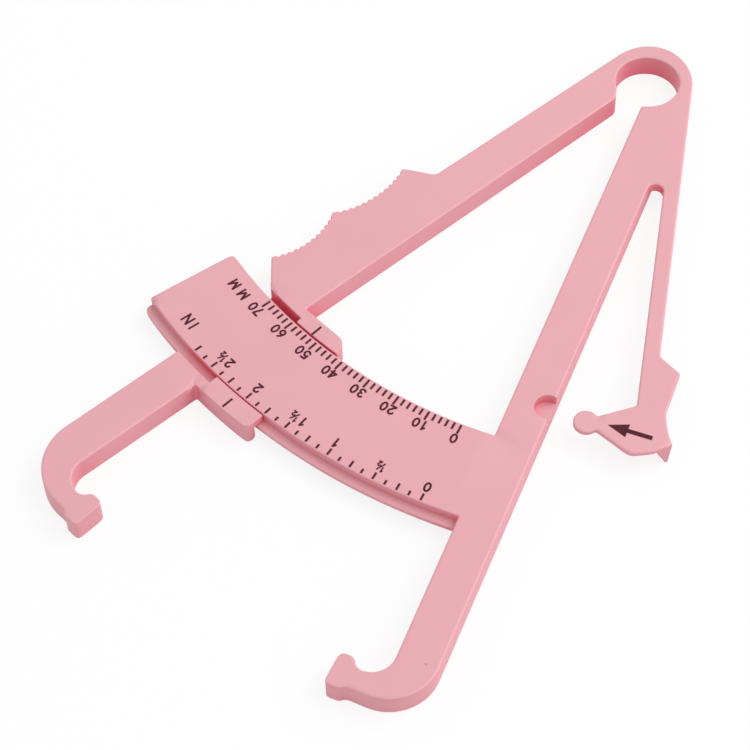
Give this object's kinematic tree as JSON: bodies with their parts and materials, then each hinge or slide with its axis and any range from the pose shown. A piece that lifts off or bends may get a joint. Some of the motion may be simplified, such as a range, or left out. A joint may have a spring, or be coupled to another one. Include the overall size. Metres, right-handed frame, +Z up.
{
  "type": "skinfold caliper",
  "caption": "Flat plastic skinfold caliper: two hooked jaws on a spring ring, a curved dual scale with a sliding pointer guide, and a thumb lever that clicks at the set force.",
  "frame": {"origin": "centre of the hanging hole in the spring ring, on the underside", "axes": "+X towards the jaws along the zero ray of the scale, +Y towards the thumb lever, +Z up out of the printed face"},
  "size_m": [0.1573, 0.1034, 0.0052],
  "materials": {
    "moulding": "satin moulded pink",
    "ink": "pad-printed dark maroon"
  },
  "bodies": {
    "fixed_frame": {"spring_ring": "moulding", "hinge_web": "moulding", "lever_root": "moulding", "fixed_arm": "moulding", "fixed_jaw_hook": "moulding", "fixed_jaw_pad": "moulding", "scale_plate": "moulding", "scale_rail": "moulding", "mm_graduations": "ink", "inch_graduations": "ink"},
    "moving_arm": {"grip_bar": "moulding", "finger_grip": "moulding", "guide_bridge": "moulding", "mm_pointer_tab": "moulding", "inch_pointer_tab": "moulding", "jaw_shank": "moulding", "moving_jaw_hook": "moulding", "moving_jaw_pad": "moulding", "mm_pointer_line": "ink", "inch_pointer_line": "ink"},
    "force_lever": {"lever_flexure": "moulding", "lever_strip": "moulding", "lever_head": "moulding", "thumb_wedge": "moulding", "click_ball": "moulding", "force_arrow": "ink"}
  },
  "joints": [
    {"name": "arm_squeeze", "type": "hinge", "parent": "fixed_frame", "child": "moving_arm", "pos_m": [-0.0072, 0.00043, 0], "axis": [0, 0, 1], "range_deg": [-6.4, 20.1], "stiffness_Nm_per_rad": 0.6, "deforming": ["spring_ring"]},
    {"name": "lever_press", "type": "hinge", "parent": "fixed_frame", "child": "force_lever", "pos_m": [0.02681, 0.01569, 0], "axis": [0, 0, 1], "range_deg": [-8.1, 0], "stiffness_Nm_per_rad": 0.5, "deforming": ["lever_flexure"]}
  ]
}
